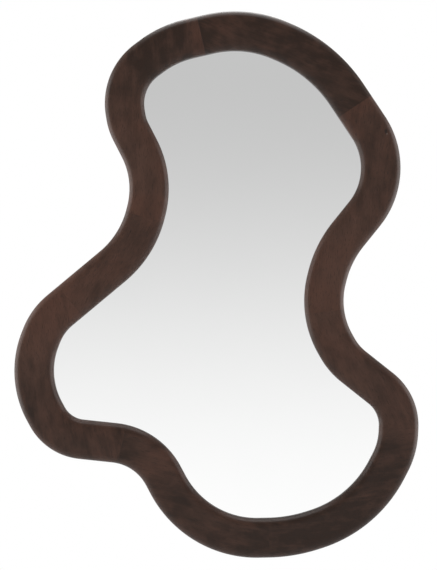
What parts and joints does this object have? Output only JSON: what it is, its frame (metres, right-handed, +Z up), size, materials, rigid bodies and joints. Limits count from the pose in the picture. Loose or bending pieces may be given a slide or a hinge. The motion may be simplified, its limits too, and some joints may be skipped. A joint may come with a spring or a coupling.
{
  "type": "irregular wall mirror",
  "caption": "Free-form wall mirror: a pane set back in a curved, butt-jointed frame of dark stained wood, with a screwed back board and swinging D-ring hangers.",
  "frame": {"origin": "on the wall plane, midway between the two wall hooks and level with them", "axes": "+Z up, -Y out of the mirror's face towards the viewer, +Y into the wall, +X to the right as seen from the front"},
  "size_m": [0.5917, 0.036, 0.8],
  "materials": {
    "stained_wood": "dark brown stain under a satin coat, open grain",
    "tenon_wood": "bare beech",
    "silvered_glass": "polished float glass, silvered, grey back paint",
    "spacer_rubber": "matt",
    "liner_foam": "closed-cell foam sheet, matt white",
    "hardboard": "hardboard, smooth face, brown",
    "zinc_screw": "zinc plated",
    "strap_steel": "nickel plated, folded",
    "ring_steel": "nickel plated wire",
    "bumper_rubber": "matt black rubber"
  },
  "bodies": {
    "mirror_body": {"rail_top": "stained_wood", "rail_right_shoulder": "stained_wood", "rail_right_waist": "stained_wood", "rail_right_hip": "stained_wood", "rail_bottom": "stained_wood", "rail_left_hip": "stained_wood", "rail_left_waist": "stained_wood", "rail_left_shoulder": "stained_wood", "joint_tenons": "tenon_wood", "mirror_glass": "silvered_glass", "glass_spacers": "spacer_rubber", "foam_liner": "liner_foam", "backing_board": "hardboard", "backing_screws": "zinc_screw", "hanger_left": "strap_steel", "hanger_right": "strap_steel", "hanger_screws": "zinc_screw", "wall_bumpers": "bumper_rubber"},
    "ring_left": {"ring_left": "ring_steel"},
    "ring_right": {"ring_right": "ring_steel"}
  },
  "joints": [
    {"name": "ring_left_swing", "type": "hinge", "parent": "mirror_body", "child": "ring_left", "pos_m": [-0.17913, -0.00494, -0.016], "axis": [1, 0, 0], "range_deg": [0, 180]},
    {"name": "ring_right_swing", "type": "hinge", "parent": "mirror_body", "child": "ring_right", "pos_m": [0.17913, -0.00494, -0.016], "axis": [1, 0, 0], "range_deg": [0, 180]}
  ]
}
